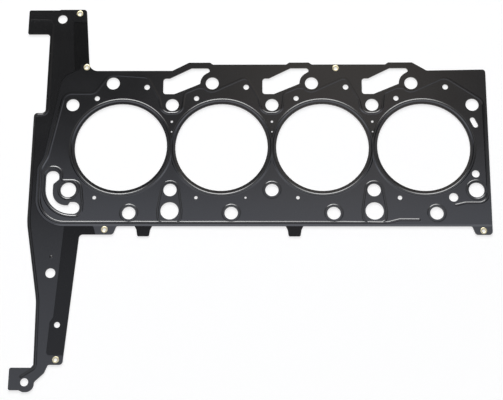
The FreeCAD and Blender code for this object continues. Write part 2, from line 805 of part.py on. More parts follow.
def round_holes():
    pitch = "Sizes.bore_pitch"
    left = "-2 * %s - Sizes." % pitch
    right = "2 * %s + Sizes." % pitch
    holes = []
    for bore in BORES:
        centre = "(%s) * %s" % (bore - 1.5, pitch)
        holes.append((centre, "0", "Sizes.bore_radius"))
        for name, side in (("back_hole", ""), ("vent", ""), ("jet", ""), ("front_hole", "-")):
            x = "%s + Sizes.%s_x" % (centre, name)
            holes.append((x, "%sSizes.%s_y" % (side, name), "Sizes.%s_radius" % name))
    for line in BOLT_LINES:
        centre = "(%s) * %s" % (line, pitch)
        front_radius = "Sizes.bolt_radius" if line in WEBS else "Sizes.dowel_radius"
        holes.append((centre, "Sizes.bolt_row", "Sizes.bolt_radius"))
        holes.append((centre, "-Sizes.bolt_row", front_radius))
    for line in WEBS:
        centre = "(%s) * %s" % (line, pitch)
        holes.append((centre, "Sizes.web_hole_y", "Sizes.web_hole_radius"))
        holes.append((centre, "Sizes.web_drill_y", "Sizes.web_drill_radius"))
    for line in (WEBS[0], WEBS[-1]):
        holes.append(("(%s) * %s" % (line, pitch), "-Sizes.return_y", "Sizes.return_radius"))
    for number in range(1, 6):
        holes.append(("Sizes.meter_%d_x" % number, "-Sizes.meter_y", "Sizes.meter_%d_radius" % number))
    holes.append((right + "drain_x", "-Sizes.drain_y", "Sizes.drain_radius"))
    holes.append(("2 * " + pitch, "-Sizes.feed_y", "Sizes.feed_radius"))
    for name in ("arm_hole", "leg_hole", "pin_hole", "foot_hole"):
        holes.append((left + name + "_x", "Sizes.%s_y" % name, "Sizes.%s_radius" % name))
    for x, y in eyelet_expressions():
        holes.append((x, y, "Sizes.eyelet_barrel + Sizes.eyelet_fit"))
    return holes


def eyelet_expressions():
    """Centres of the eyelets."""
    left = "-2 * Sizes.bore_pitch - Sizes.eyelet_%s_x"
    return [
        (left % "arm", "Sizes.eyelet_arm_y"),
        (left % "joint", "Sizes.eyelet_joint_y"),
        (left % "front", "Sizes.eyelet_front_y"),
        (left % "leg", "Sizes.eyelet_leg_y"),
        ("Sizes.eyelet_back_x", "Sizes.eyelet_back_y"),
        ("2 * Sizes.bore_pitch + Sizes.eyelet_right_x", "Sizes.eyelet_right_y"),
    ]


# Sketches and bodies


def add_body(name, height):
    """Body that stands at a height above the flat underside."""
    body = doc.addObject("PartDesign::Body", name)
    body.setExpression(".Placement.Base.z", height)
    return body


def add_sketch(body, name, plane_role="XY_Plane"):
    plane = next(item for item in body.Origin.OriginFeatures if item.Role == plane_role)
    sketch = body.newObject("Sketcher::SketchObject", name)
    sketch.AttachmentSupport = [(plane, "")]
    sketch.MapMode = "FlatFace"
    return sketch


def draw_loops(sketch, loops):
    for corners in loops:
        sketch.addGeometry(loop_geometry(corners), False)


def add_pad(body, sketch, length):
    pad = body.newObject("PartDesign::Pad", sketch.Name + "_pad")
    pad.Profile = sketch
    pad.setExpression("Length", length)
    return pad


def plate(name, height, thickness):
    """Flat plate with the shared outline, and no openings yet."""
    body = add_body(name, height)
    sketch = add_sketch(body, name + "_outline")
    draw_loops(sketch, [outer_corners()])
    add_pad(body, sketch, thickness)
    return body


def disc(name, x, y, bottom, radius, height):
    """Round solid whose place and sizes are bound to the sheet of sizes."""
    solid = doc.addObject("Part::Cylinder", name)
    solid.setExpression("Radius", radius)
    solid.setExpression("Height", height)
    for axis, expression in (("x", x), ("y", y), ("z", bottom)):
        solid.setExpression(".Placement.Base." + axis, expression)
    return solid


def extruded(name, loops, bottom, length):
    """Solid, or group of solids, with closed outlines for its plan."""
    sketch = doc.addObject("Sketcher::SketchObject", name + "_sketch")
    draw_loops(sketch, loops)
    solid = doc.addObject("Part::Extrusion", name)
    solid.Base = sketch
    solid.DirMode = "Custom"
    solid.Dir = UP
    solid.Solid = True
    solid.setExpression("LengthFwd", length)
    solid.setExpression(".Placement.Base.z", bottom)
    return solid


def compound(name, shapes):
    group = doc.addObject("Part::Compound", name)
    group.Links = shapes
    return group


def make_punches():
    """Everything that is punched through all layers."""
    tools = []
    for number, (x, y, radius) in enumerate(round_holes(), start=1):
        tools.append(disc("punch_%d" % number, x, y, PUNCH_FLOOR, radius, PUNCH_LENGTH))
    loops = [window_corners(line) for line in WEBS] + [oil_slot_corners(), slanted_slot_corners()]
    tools.append(extruded("shaped_punches", loops, PUNCH_FLOOR, PUNCH_LENGTH))
    return compound("punches", tools)


def boolean(kind, name, base, tool):
    result = doc.addObject("Part::" + kind, name)
    result.Base = base
    result.Tool = tool
    result.Refine = True
    return result


def mirrored(name, source):
    """Copy of an upper sheet below the carrier, turned over about the carrier's middle."""
    result = doc.addObject("Part::Mirroring", name)
    result.Source = source
    result.Normal = UP
    result.setExpression(".Base.z", "Sizes.sheet_thickness + Sizes.carrier_thickness / 2")
    return result


def carrier_plate(punches):
    blank = plate("carrier_blank", "Sizes.sheet_thickness", "Sizes.carrier_thickness")
    tabs = add_sketch(blank, "thickness_tabs")
    draw_loops(tabs, [tag_corners(s.tag_1_x), tag_corners(s.tag_2_x)])
    add_pad(blank, tabs, "Sizes.carrier_thickness")
    return boolean("Cut", "carrier_plate", blank, punches)


def stopper_ring(name, bore, bottom):
    """Thin ring on the carrier that keeps the bore beads from being pressed flat."""
    centre = "(%s) * Sizes.bore_pitch" % (bore - 1.5)
    thickness = "Sizes.stopper_thickness"
    outer = disc(name + "_outer", centre, "0", bottom, "Sizes.bore_radius + Sizes.stopper_width", thickness)
    inner = disc(name + "_inner", centre, "0", bottom, "Sizes.bore_radius", thickness)
    return boolean("Cut", name, outer, inner)


def sheets(punches):
    """The two upper sheets, pressed and cut in code, and their mirror images below the carrier."""
    blank = plate("sheet_blank", CARRIER_TOP, "Sizes.sheet_thickness")
    bore_area = extruded("bore_area", [bore_side_corners()], PUNCH_FLOOR, PUNCH_LENGTH)
    strips = [arm_strip_corners(), leg_strip_corners()]
    bare_strips = extruded("bare_strips", strips, PUNCH_FLOOR, PUNCH_LENGTH)
    doc.recompute()
    dies = bead_tooling()
    dies_below = dies.translated(FreeCAD.Vector(0, 0, -s.sheet_thickness))
    pressed = blank.Shape.fuse(dies).cut(dies_below)
    punched = pressed.cut(punches.Shape.Solids)
    uppers = [
        ("upper_bead_sheet", punched.common(bore_area.Shape)),
        ("wing_upper_sheet", punched.cut([bore_area.Shape, kerf_shape()] + bare_strips.Shape.Solids)),
    ]
    made = []
    for name, shape in uppers:
        sheet = doc.addObject("Part::Feature", name)
        sheet.Shape = shape.removeSplitter()
        made.append(sheet)
    made.append(mirrored("lower_bead_sheet", made[0]))
    made.append(mirrored("wing_lower_sheet", made[1]))
    return made


def kerf_shape():
    """Gap between the bore sheet and the wing sheet, centred on the joint line and as deep as the punches."""
    pieces = []
    deep = FreeCAD.Vector(0, 0, 2 * s.punch_reach)
    floor = FreeCAD.Vector(0, 0, -s.punch_reach)
    for kind, start, other, degrees, along in trace(joint_corners(), closed=False):
        if kind == "run":
            along = (other - start).normalize()
        side = FreeCAD.Vector(-along.y, along.x, 0) * s.joint_gap
        left, right = start + side + floor, start - side + floor
        section = Part.Face(Part.makePolygon([left, right, right + deep, left + deep, left]))
        if kind == "run":
            pieces.append(section.extrude(other - start))
            pieces.append(Part.makeCylinder(s.joint_gap, deep.z, other + floor))
        else:
            pieces.append(section.revolve(other, UP, degrees))
    return pieces[0].multiFuse(pieces[1:]).removeSplitter()


def eyelets():
    """Open tubular eyelets that hold the layers together, each flanged over above and below."""
    tube = add_body("eyelet", "0")
    sketch = add_sketch(tube, "eyelet_profile", "XZ_Plane")
    profile = [
        (s.eyelet_bore, -s.eyelet_flange),
        (s.eyelet_head, -s.eyelet_flange),
        (s.eyelet_head, 0),
        (s.eyelet_barrel, 0),
        (s.eyelet_barrel, stack_top()),
        (s.eyelet_head, stack_top()),
        (s.eyelet_head, stack_top() + s.eyelet_flange),
        (s.eyelet_bore, stack_top() + s.eyelet_flange),
    ]
    points = [FreeCAD.Vector(x, y, 0) for x, y in profile]
    sketch.addGeometry([Part.LineSegment(a, b) for a, b in zip(points, points[1:] + points[:1])], False)
    turned = tube.newObject("PartDesign::Revolution", "eyelet_turned")
    turned.Profile = sketch
    turned.ReferenceAxis = (sketch, ["V_Axis"])
    turned.Angle = 360
    places = []
    for number, (x, y) in enumerate(eyelet_expressions(), start=1):
        place = doc.addObject("App::Link", "eyelet_%d" % number)
        place.LinkedObject = tube
        place.LinkTransform = False
        place.setExpression(".Placement.Base.x", x)
        place.setExpression(".Placement.Base.y", y)
        places.append(place)
    return compound("eyelets", places)


# Build, check and write


def main():
    punches = make_punches()
    parts = [carrier_plate(punches)]
    for bore in BORES:
        parts.append(stopper_ring("upper_stopper_%d" % (bore + 1), bore, CARRIER_TOP))
        parts.append(stopper_ring("lower_stopper_%d" % (bore + 1), bore, LOWER_STOPPER))
    parts += sheets(punches)
    parts.append(eyelets())
    doc.recompute()
    for item in doc.Objects:
        if "Invalid" in item.State or "Error" in item.State:
            raise RuntimeError("%s failed: %s" % (item.Name, item.State))
    for part in parts:
        part.Label = part.Name
        if part.Shape.isNull() or not part.Shape.isValid():
            raise RuntimeError(part.Label + " has no valid shape")
    os.makedirs("parts", exist_ok=True)
    for part in parts:
        part.Shape.exportStep("parts/%s.step" % part.Label)
        box = part.Shape.BoundBox
        print("%-18s %d solids, %.0f mm3, z %.2f to %.2f" % (
            part.Label, len(part.Shape.Solids), part.Shape.Volume, box.ZMin, box.ZMax))


main()
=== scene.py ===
import math

import bmesh
import bpy
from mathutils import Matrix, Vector


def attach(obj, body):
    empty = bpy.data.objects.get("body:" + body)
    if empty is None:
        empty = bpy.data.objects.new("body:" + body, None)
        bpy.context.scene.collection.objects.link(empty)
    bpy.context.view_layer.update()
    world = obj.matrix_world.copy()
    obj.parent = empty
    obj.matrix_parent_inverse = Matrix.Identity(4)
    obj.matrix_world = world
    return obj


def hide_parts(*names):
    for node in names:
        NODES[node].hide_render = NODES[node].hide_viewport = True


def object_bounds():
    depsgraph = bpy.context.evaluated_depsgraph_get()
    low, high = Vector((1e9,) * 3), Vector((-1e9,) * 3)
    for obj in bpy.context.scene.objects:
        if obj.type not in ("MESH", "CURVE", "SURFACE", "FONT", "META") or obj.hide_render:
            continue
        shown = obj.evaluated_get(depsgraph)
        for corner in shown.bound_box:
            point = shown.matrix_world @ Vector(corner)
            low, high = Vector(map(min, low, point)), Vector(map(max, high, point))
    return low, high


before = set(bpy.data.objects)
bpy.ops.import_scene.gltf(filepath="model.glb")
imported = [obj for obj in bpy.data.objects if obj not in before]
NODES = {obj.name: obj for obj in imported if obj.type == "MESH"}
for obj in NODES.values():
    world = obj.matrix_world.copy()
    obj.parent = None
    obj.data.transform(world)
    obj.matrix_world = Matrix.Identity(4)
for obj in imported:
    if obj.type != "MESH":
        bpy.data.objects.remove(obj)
CAD_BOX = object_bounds()

# %% [markdown]
# # A pressed steel cylinder head gasket
# A head gasket is a stack of thin steel sheets that seals an engine's block against its head. The outer
# sheets are spring steel with a thin rubber coating, and the raised lines on them, the beads, are pressed
# in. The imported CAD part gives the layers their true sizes. This lesson gives the sheets rounded beads,
# makes rolled eyelets, and finds a finish for each metal. All sizes are in metres, so a millimetre is named
# first.

# %% Sizes that the whole lesson uses
MM = 0.001
SHEET = 0.25 * MM
BEAD_HEIGHT = 0.3 * MM
STACK = 1.1 * MM


def in_mm(box):
    """Corners of a box in millimetres, for the eye."""
    return [[round(value / MM, 2) for value in corner] for corner in box]


print("layers:", len(NODES), "box in mm:", in_mm(CAD_BOX))

# %% [markdown]
# ## Camera
# The photograph was taken from above and in front, with the sheet seen almost flat. A camera is placed by
# eye, by matching a few known points, or by solving for it. The bores of an engine stand in a straight row
# at equal distances, so their outlines in the photograph fix the camera well, and these are the solved
# values.

# %% Camera
CAMERA_PLACE = (-1.0 * MM, -387.8 * MM, 1064.3 * MM)
CAMERA_TURN = (17.483, 0.884, 0.300)
LENS_LENGTH = 85.05
SENSOR_WIDTH = 36.0
NEAREST_SEEN = 0.01

camera_data = bpy.data.cameras.new("camera")
camera_data.lens = LENS_LENGTH
camera_data.sensor_width = SENSOR_WIDTH
camera_data.clip_start = NEAREST_SEEN
camera = bpy.data.objects.new("camera", camera_data)
camera.location = CAMERA_PLACE
camera.rotation_euler = [math.radians(angle) for angle in CAMERA_TURN]
bpy.context.scene.collection.objects.link(camera)
bpy.context.scene.camera = camera
bpy.context.scene.view_settings.view_transform = "Standard"
print("camera stands", round(camera.location.z, 3), "m above the sheet")

# %% [markdown]
# ## Shader helpers
# Every finish here is a small node tree. A few helpers keep that code short: one adds a node with its
# values set, one starts a node group with named sockets, and one starts a material around a Principled
# shader.

# %% Shader helpers


def add_node(tree, kind, **values):
    """Node of a kind, with its properties and its sockets' values set by name."""
    node = tree.nodes.new(kind)
    for name, value in values.items():
        if hasattr(node, name):
            setattr(node, name, value)
        else:
            node.inputs[name.replace("_", " ")].default_value = value
    return node


def start_group(name, inputs, outputs):
    """Node group with its sockets, and the two nodes that stand for them inside."""
    group = bpy.data.node_groups.new(name, "ShaderNodeTree")
    for socket_name, kind, value in inputs:
        socket = group.interface.new_socket(name=socket_name, in_out="INPUT", socket_type=kind)
        socket.default_value = value
    for socket_name, kind in outputs:
        group.interface.new_socket(name=socket_name, in_out="OUTPUT", socket_type=kind)
    return group, group.nodes.new("NodeGroupInput"), group.nodes.new("NodeGroupOutput")


def start_material(name, **values):
    """Material with a Principled shader whose plain values are set on its own sockets."""
    material = bpy.data.materials.new(name)
    material.use_nodes = True
    shader = material.node_tree.nodes["Principled BSDF"]
    for socket_name, value in values.items():
        shader.inputs[socket_name.replace("_", " ")].default_value = value
    return material, material.node_tree, shader


print("helpers ready")

# %% [markdown]
# ## A film of rubber on steel
# The coating is a thin film of black rubber, cured on the steel. It is satin, not matt: it mirrors a window
# as a soft patch. Close up it has a fine orange peel, it is a little thicker in some places than in others,
# and dust sits on it. One group gives all of that, and each coating uses its own values. The noise is read
# from Object coordinates, so its grain is in real millimetres.

# %% Coating group
FLOAT = "NodeSocketFloat"
COLOR = "NodeSocketColor"
DUST_TONE = (0.09, 0.088, 0.085, 1)
DUST_SHARE = 0.35
FILM_ROUGHNESS_SPREAD = 0.03

coating, group_in, group_out = start_group(
    "rubber_film",
    [("Tone", COLOR, (0.02, 0.02, 0.022, 1)), ("Thin Tone", COLOR, (0.03, 0.03, 0.032, 1)),
     ("Roughness", FLOAT, 0.3), ("Peel", FLOAT, 1.0)],
    [("Color", COLOR), ("Roughness", FLOAT), ("Height", FLOAT)])
place = add_node(coating, "ShaderNodeTexCoord")
clouds = add_node(coating, "ShaderNodeTexNoise", Scale=28.0, Detail=4.0, Roughness=0.55)
peel = add_node(coating, "ShaderNodeTexNoise", Scale=1400.0, Detail=3.0, Roughness=0.6)
dust = add_node(coating, "ShaderNodeTexVoronoi", Scale=420.0)
speck = add_node(coating, "ShaderNodeMapRange", From_Min=0.05, From_Max=0.09, To_Min=1.0, To_Max=0.0)
thin = add_node(coating, "ShaderNodeMapRange", From_Min=0.35, From_Max=0.7)
tone = add_node(coating, "ShaderNodeMix", data_type="RGBA")
dusted = add_node(coating, "ShaderNodeMix", data_type="RGBA")
dusted.inputs["B"].default_value = DUST_TONE
dust_share = add_node(coating, "ShaderNodeMath", operation="MULTIPLY")
dust_share.inputs[1].default_value = DUST_SHARE
rough = add_node(coating, "ShaderNodeMath", operation="MULTIPLY_ADD")
rough.inputs[1].default_value = FILM_ROUGHNESS_SPREAD
relief = add_node(coating, "ShaderNodeMath", operation="MULTIPLY")
for texture in (clouds, peel, dust):
    coating.links.new(place.outputs["Object"], texture.inputs["Vector"])
coating.links.new(clouds.outputs["Fac"], thin.inputs["Value"])
coating.links.new(thin.outputs["Result"], tone.inputs["Factor"])
coating.links.new(group_in.outputs["Tone"], tone.inputs["A"])
coating.links.new(group_in.outputs["Thin Tone"], tone.inputs["B"])
coating.links.new(dust.outputs["Distance"], speck.inputs["Value"])
coating.links.new(speck.outputs["Result"], dust_share.inputs[0])
coating.links.new(dust_share.outputs[0], dusted.inputs["Factor"])
coating.links.new(tone.outputs["Result"], dusted.inputs["A"])
coating.links.new(dusted.outputs["Result"], group_out.inputs["Color"])
coating.links.new(thin.outputs["Result"], rough.inputs[0])
coating.links.new(group_in.outputs["Roughness"], rough.inputs[2])
coating.links.new(rough.outputs[0], group_out.inputs["Roughness"])
coating.links.new(peel.outputs["Fac"], relief.inputs[0])
coating.links.new(group_in.outputs["Peel"], relief.inputs[1])
coating.links.new(relief.outputs[0], group_out.inputs["Height"])
print("group", coating.name, "with", len(coating.nodes), "nodes")

# %% [markdown]
# ## Bare steel at the sheared edges
# The sheets are coated before they are punched, so every edge of a hole or of the outline shows bare, shiny
# steel. The edge could be painted face by face, but the surface already knows where it was cut: there its
# normal is level. The group turns that into a mask, with a little noise so that the line isn't perfect.

# %% Sheared edge group
EDGE_UNEVENNESS = 0.3
CUT_STEEL_TONE = (0.32, 0.31, 0.3, 1)
CUT_STEEL_ROUGHNESS = 0.34

shear, group_in, group_out = start_group(
    "sheared_edge", [("Color", COLOR, (0.02, 0.02, 0.02, 1)), ("Roughness", FLOAT, 0.3)],
    [("Color", COLOR), ("Roughness", FLOAT), ("Bare", FLOAT)])
place = add_node(shear, "ShaderNodeTexCoord")
parts = add_node(shear, "ShaderNodeSeparateXYZ")
upright = add_node(shear, "ShaderNodeMath", operation="ABSOLUTE")
streaks = add_node(shear, "ShaderNodeTexNoise", Scale=900.0, Detail=2.0)
uneven = add_node(shear, "ShaderNodeMath", operation="MULTIPLY_ADD")
uneven.inputs[1].default_value = EDGE_UNEVENNESS
bare = add_node(shear, "ShaderNodeMapRange", From_Min=0.3, From_Max=0.62, To_Min=1.0, To_Max=0.0)
steel = add_node(shear, "ShaderNodeMix", data_type="RGBA")
steel.inputs["B"].default_value = CUT_STEEL_TONE
smoother = add_node(shear, "ShaderNodeMix", data_type="FLOAT")
smoother.inputs["B"].default_value = CUT_STEEL_ROUGHNESS
shear.links.new(place.outputs["Normal"], parts.inputs["Vector"])
shear.links.new(parts.outputs["Z"], upright.inputs[0])
shear.links.new(place.outputs["Object"], streaks.inputs["Vector"])
shear.links.new(streaks.outputs["Fac"], uneven.inputs[0])
shear.links.new(upright.outputs[0], uneven.inputs[2])
shear.links.new(uneven.outputs[0], bare.inputs["Value"])
shear.links.new(bare.outputs["Result"], steel.inputs["Factor"])
shear.links.new(group_in.outputs["Color"], steel.inputs["A"])
shear.links.new(steel.outputs["Result"], group_out.inputs["Color"])
shear.links.new(bare.outputs["Result"], smoother.inputs["Factor"])
shear.links.new(group_in.outputs["Roughness"], smoother.inputs["A"])
shear.links.new(smoother.outputs["Result"], group_out.inputs["Roughness"])
shear.links.new(bare.outputs["Result"], group_out.inputs["Bare"])
print("group", shear.name, "with", len(shear.nodes), "nodes")

# %% [markdown]
# ## A free sheet isn't quite flat
# A free sheet of spring steel can lean or curl by a few degrees until it is bolted down. That is too little
# to see as a shape here, but a glossy face shows it, because it mirrors another part of the room. The group
# gives that lie of the sheet as a height in metres: a lean over the whole sheet, the land that dips towards
# each bore in the front half, and the rim that dips outside the front bead. A bump node turns the height
# into the slope of the surface. The slopes weren't measured. They were chosen until the tones of the flat
# faces came close to the photograph.

# %% Lie of a free sheet
LAND_EDGE = 46.1 * MM
RIM_START = -76.7 * MM
RIM_END = -78.7 * MM
HALF_PITCH = 48.0 * MM
END_BORE = 3 * HALF_PITCH
FRONT_HALF = (-20 * MM, 15 * MM)

lie, group_in, group_out = start_group(
    "sprung_sheet", [("Lean", FLOAT, 0.0), ("Land Dip", FLOAT, 0.0), ("Rim Dip", FLOAT, 0.0)],
    [("Height", FLOAT)])
place = add_node(lie, "ShaderNodeTexCoord")
parts = add_node(lie, "ShaderNodeSeparateXYZ")
lie.links.new(place.outputs["Object"], parts.inputs["Vector"])


def lie_math(operation, first, second):
    """Math node in the group. A number or an output can stand on either side."""
    node = add_node(lie, "ShaderNodeMath", operation=operation)
    for socket, value in zip(node.inputs, (first, second)):
        if isinstance(value, bpy.types.NodeSocket):
            lie.links.new(value, socket)
        else:
            socket.default_value = value
    return node.outputs[0]


to_web = lie_math("PINGPONG", parts.outputs["X"], HALF_PITCH)
beyond = lie_math("SUBTRACT", lie_math("ABSOLUTE", parts.outputs["X"], 0.0), END_BORE)
to_bore = lie_math("MAXIMUM", lie_math("SUBTRACT", HALF_PITCH, to_web), beyond)
back_off = lie_math("ABSOLUTE", parts.outputs["Y"], 0.0)
square = lie_math("ADD", lie_math("POWER", to_bore, 2.0), lie_math("POWER", back_off, 2.0))
inside = lie_math("MINIMUM", lie_math("SUBTRACT", lie_math("POWER", square, 0.5), LAND_EDGE), 0.0)
front = add_node(
    lie, "ShaderNodeMapRange", interpolation_type="SMOOTHSTEP", From_Min=FRONT_HALF[0],
    From_Max=FRONT_HALF[1], To_Min=1.0, To_Max=0.0)
lie.links.new(parts.outputs["Y"], front.inputs["Value"])
rim_place = lie_math("MAXIMUM", parts.outputs["Y"], RIM_END)
outside = lie_math("MINIMUM", lie_math("SUBTRACT", rim_place, RIM_START), 0.0)
land_dip = lie_math("MULTIPLY", front.outputs["Result"], group_in.outputs["Land Dip"])
land_height = lie_math("MULTIPLY", inside, land_dip)
rim_height = lie_math("MULTIPLY", outside, group_in.outputs["Rim Dip"])
lean_height = lie_math("MULTIPLY", parts.outputs["Y"], group_in.outputs["Lean"])
dip_height = lie_math("ADD", land_height, rim_height)
lie.links.new(lie_math("ADD", dip_height, lean_height), group_out.inputs["Height"])
print("group", lie.name, "with", len(lie.nodes), "nodes")

# %% [markdown]
# ## Coated steel
# The main sheets, the wing's sheets and the carrier wear the same kind of film, but it is glossier on the
# main sheets and duller on the carrier. So one function puts the three groups together, and each layer
# passes its own values. The Principled shader stays in the material, where the gloss is one plain number.

# %% Coated steel materials


def coated_steel(name, tone, thin_tone, roughness, peel_depth, gloss, **lies):
    """Rubber film over steel, with bare sheared edges and the lie of a free sheet."""
    material, tree, shader = start_material(name, Specular_IOR_Level=gloss)
    free_lie = add_node(tree, "ShaderNodeGroup", node_tree=lie, **lies)
    slope = add_node(tree, "ShaderNodeBump", Strength=1.0, Distance=1.0)
    tree.links.new(free_lie.outputs["Height"], slope.inputs["Height"])
    film = add_node(tree, "ShaderNodeGroup", node_tree=coating, Roughness=roughness)
    film.inputs["Tone"].default_value = (*tone, 1)
    film.inputs["Thin Tone"].default_value = (*thin_tone, 1)
    edge = add_node(tree, "ShaderNodeGroup", node_tree=shear)
    bump = add_node(tree, "ShaderNodeBump", Strength=0.25, Distance=peel_depth)
    tree.links.new(film.outputs["Color"], edge.inputs["Color"])
    tree.links.new(film.outputs["Roughness"], edge.inputs["Roughness"])
    tree.links.new(slope.outputs["Normal"], bump.inputs["Normal"])
    tree.links.new(film.outputs["Height"], bump.inputs["Height"])
    tree.links.new(edge.outputs["Color"], shader.inputs["Base Color"])
    tree.links.new(edge.outputs["Roughness"], shader.inputs["Roughness"])
    tree.links.new(edge.outputs["Bare"], shader.inputs["Metallic"])
    tree.links.new(bump.outputs["Normal"], shader.inputs["Normal"])
    return material


sheet_coating = coated_steel(
    "sheet_coating", tone=(0.0082, 0.0083, 0.0085), thin_tone=(0.0112, 0.0113, 0.0117),
    roughness=0.1, peel_depth=0.01 * MM, gloss=1.0, Land_Dip=0.055, Rim_Dip=0.08)
wing_coating = coated_steel(
    "wing_coating", tone=(0.0098, 0.0098, 0.0101), thin_tone=(0.0122, 0.0123, 0.0127),
    roughness=0.13, peel_depth=0.012 * MM, gloss=0.68, Lean=-0.02)
carrier_coating = coated_steel(
    "carrier_coating", tone=(0.0068, 0.0068, 0.0069), thin_tone=(0.0088, 0.0088, 0.0089),
    roughness=0.16, peel_depth=0.015 * MM, gloss=0.3, Lean=-0.02)
print("coated steels:", sheet_coating.name, wing_coating.name, carrier_coating.name)

# %% [markdown]
# ## Rolled steel and brass
# The stoppers are bare rolled steel strip, with fine lines along the rolling direction. The eyelets are
# pale brass that was drawn, cut and rolled over, so it has short scratches and a slightly darker, dull
# bloom.

# %% Metal materials
LINE_SHINE = 0.06
LINE_DULLNESS = 0.12


def bare_metal(name, tone, dull_tone, roughness, stretch):
    """Metal with fine lines, drawn out along one direction, and a patchy bloom."""
    material, tree, shader = start_material(name, Metallic=1.0)
    place = add_node(tree, "ShaderNodeTexCoord")
    drawn = add_node(tree, "ShaderNodeMapping")
    drawn.inputs["Scale"].default_value = stretch
    lines = add_node(tree, "ShaderNodeTexNoise", Scale=900.0, Detail=4.0)
    bloom = add_node(tree, "ShaderNodeTexNoise", Scale=160.0, Detail=3.0)
    color = add_node(tree, "ShaderNodeMix", data_type="RGBA")
    color.inputs["A"].default_value = (*tone, 1)
    color.inputs["B"].default_value = (*dull_tone, 1)
    rough = add_node(
        tree, "ShaderNodeMapRange", To_Min=roughness - LINE_SHINE, To_Max=roughness + LINE_DULLNESS)
    bump = add_node(tree, "ShaderNodeBump", Strength=0.2, Distance=0.01 * MM)
    tree.links.new(place.outputs["Object"], drawn.inputs["Vector"])
    tree.links.new(drawn.outputs["Vector"], lines.inputs["Vector"])
    tree.links.new(place.outputs["Object"], bloom.inputs["Vector"])
    tree.links.new(bloom.outputs["Fac"], color.inputs["Factor"])
    tree.links.new(lines.outputs["Fac"], rough.inputs["Value"])
    tree.links.new(lines.outputs["Fac"], bump.inputs["Height"])
    tree.links.new(color.outputs["Result"], shader.inputs["Base Color"])
    tree.links.new(rough.outputs["Result"], shader.inputs["Roughness"])
    tree.links.new(bump.outputs["Normal"], shader.inputs["Normal"])
    return material


stopper_steel = bare_metal(
    "stopper_steel", tone=(0.55, 0.55, 0.54), dull_tone=(0.42, 0.42, 0.41), roughness=0.3,
    stretch=(0.05, 1.0, 1.0))
eyelet_brass = bare_metal(
    "eyelet_brass", tone=(0.83, 0.76, 0.52), dull_tone=(0.7, 0.62, 0.4), roughness=0.28,
    stretch=(1.0, 1.0, 0.2))
print("metals:", stopper_steel.name, eyelet_brass.name)

# %% [markdown]
# ## Layers that keep their CAD shape
# The carrier plate and the stopper rings are flat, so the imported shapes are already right. They only get
# their finish, by a change of the material in their slots.

# %% Finish of the flat layers


def give_finish(node, material):
    """Another material in the slots of a CAD node, whose shape stays."""
    for slot in NODES[node].material_slots:
        slot.material = material


give_finish("carrier_plate", carrier_coating)
stoppers = [name for name in NODES if "_stopper_" in name]
for name in stoppers:
    give_finish(name, stopper_steel)
print("finished:", 1 + len(stoppers), "flat layers")

# %% [markdown]
# ## Rounded beads
# In the CAD part a bead has a plain trapezoid section, which is light and exact. A press can't make such
# sharp bends: the sheet flows over the tool, and the real bead rises in a soft S from its foot to its crest.
# A subdivision surface would round it, but it would also blur every hole. So the slopes alone are sliced at
# a few heights, and each cut is moved up or down onto the S. The flats and the holes stay as they are.

# %% Slices of a bead
BEAD_SLICES = (0.1, 0.3, 0.5, 0.7, 0.9)
LEVEL_NORMAL = 0.9995
STEEPEST_SLOPE = 0.9
JOINED = 0.002 * MM
ON_THE_CUT = JOINED / 10
UP = Vector((0, 0, 1))


def soft_rise(share):
    """Height on the rounded bead, as a share of the whole, of a place on the plain slope."""
    return share * share * (3 - 2 * share)


print("bead slices:", BEAD_SLICES, "become", [round(soft_rise(share), 2) for share in BEAD_SLICES])

# %% [markdown]
# In the photograph the beads behind the bores hardly shine, so they are lower there. Their shares of the
# full height were chosen. The height changes over 25 mm, so that no step shows.

# %% Lower beads at the back
LINE_BEAD_SHARE = 0.15
BORE_BEAD_SHARE = 0.78
LOW_FROM = 25 * MM
LOW_TO = 50 * MM
BORE_BEAD_REACH = 50.2 * MM
ROW_HALF = 4 * HALF_PITCH


def pressed_share(place):
    """Share of the full height that a bead has: all of it in front, less at the back."""
    across = abs(place.x % (2 * HALF_PITCH) - HALF_PITCH)
    by_bore = math.hypot(across, place.y) < BORE_BEAD_REACH and abs(place.x) < ROW_HALF
    lowest = BORE_BEAD_SHARE if by_bore else LINE_BEAD_SHARE
    share = min(max((place.y - LOW_FROM) / (LOW_TO - LOW_FROM), 0.0), 1.0)
    return 1.0 + (lowest - 1.0) * soft_rise(share)


print("beads get lower from y", round(LOW_FROM / MM), "to", round(LOW_TO / MM), "mm")

# %% [markdown]
# A slope is known by its normal, which leans by about 2 to 26 degrees. Each cut goes through the slopes
# alone, so no other face gets more points. Then every point on a slope moves onto the curve.

# %% Cuts through the slopes


def is_slope(face, side):
    """Whether a face is part of a bead's slope on the upper side, or on the lower one if side is -1."""
    return STEEPEST_SLOPE < face.normal.z * side < LEVEL_NORMAL


def slice_slopes(shape, side, foot, crest):
    """Cut the slopes of one side of a sheet at the slice heights, and move the cuts onto the curve."""
    for share in BEAD_SLICES:
        faces = [face for face in shape.faces if is_slope(face, side)]
        around = {edge for face in faces for edge in face.edges}
        around |= {vert for face in faces for vert in face.verts}
        level = UP * (foot + (crest - foot) * share)
        bmesh.ops.bisect_plane(
            shape, geom=faces + list(around), dist=ON_THE_CUT, plane_co=level, plane_no=UP)
    moved = {vert for face in shape.faces if is_slope(face, side) for vert in face.verts}
    for vert in moved:
        share = (vert.co.z - foot) / (crest - foot)
        vert.co.z = foot + (crest - foot) * soft_rise(min(max(share, 0), 1)) * pressed_share(vert.co)
    return len(moved)


print("slopes are the faces whose normal's height is between", STEEPEST_SLOPE, "and", LEVEL_NORMAL)

# %% [markdown]
# ## The four bead sheets
# Each sheet starts as a copy of its CAD node. That mesh is loose triangles, so its corners are joined
# first. Smooth shading then makes the beads round. Edges over a limit angle stay crisp, and so do the edges
# where a flat face meets a slope, because a flat that shares its shading with a slope no longer looks flat.

# %% Bead sheets
SHARP_ANGLE = math.radians(35)
FLAT_NORMAL = 0.999999


